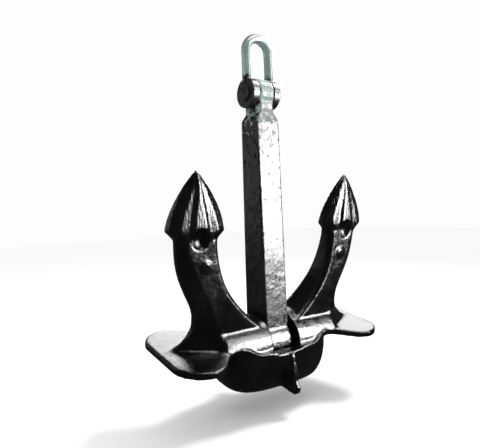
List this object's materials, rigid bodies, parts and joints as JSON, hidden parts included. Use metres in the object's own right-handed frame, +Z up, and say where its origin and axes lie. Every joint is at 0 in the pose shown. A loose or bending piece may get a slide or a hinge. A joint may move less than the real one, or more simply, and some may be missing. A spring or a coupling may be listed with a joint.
{
  "type": "fluke anchor",
  "caption": "Stockless ship anchor: a square shank with a bow shackle on top and a cast crown with pointed palms that swings on a pin.",
  "frame": {"origin": "hang point: the inside of the crown of the shackle's bow, where a chain link bears; the anchor hangs below it", "axes": "+X along the crown pin, -Y to the front, +Z up along the shank towards the shackle"},
  "size_m": [0.944, 0.4189, 1.3704],
  "materials": {
    "shackle_paint": "glossy grey-green paint with worn patches",
    "bare_steel": "machined, dull",
    "lead": "hammered lead, matt",
    "black_enamel": "thick glossy black paint over rough cast steel"
  },
  "bodies": {
    "shackle": {"shackle_bow": "shackle_paint", "shackle_pin": "bare_steel", "shackle_taper_pin": "bare_steel", "lead_plug_front": "lead", "lead_plug_back": "lead"},
    "shank": {"shank": "black_enamel"},
    "crown": {"crown_casting": "black_enamel", "crown_pin": "bare_steel", "pin_keeper_left": "black_enamel", "pin_keeper_right": "black_enamel", "locking_bar_left_inner": "bare_steel", "locking_bar_left_outer": "bare_steel", "locking_bar_right_inner": "bare_steel", "locking_bar_right_outer": "bare_steel"}
  },
  "joints": [
    {"name": "shackle_pivot", "type": "hinge", "parent": "shackle", "child": "shank", "pos_m": [0, 0, -0.196], "axis": [1, 0, 0], "range_deg": [-115, 115]},
    {"name": "crown_pivot", "type": "hinge", "parent": "shank", "child": "crown", "pos_m": [0, 0, -1.165], "axis": [1, 0, 0], "range_deg": [-51, 33]}
  ]
}
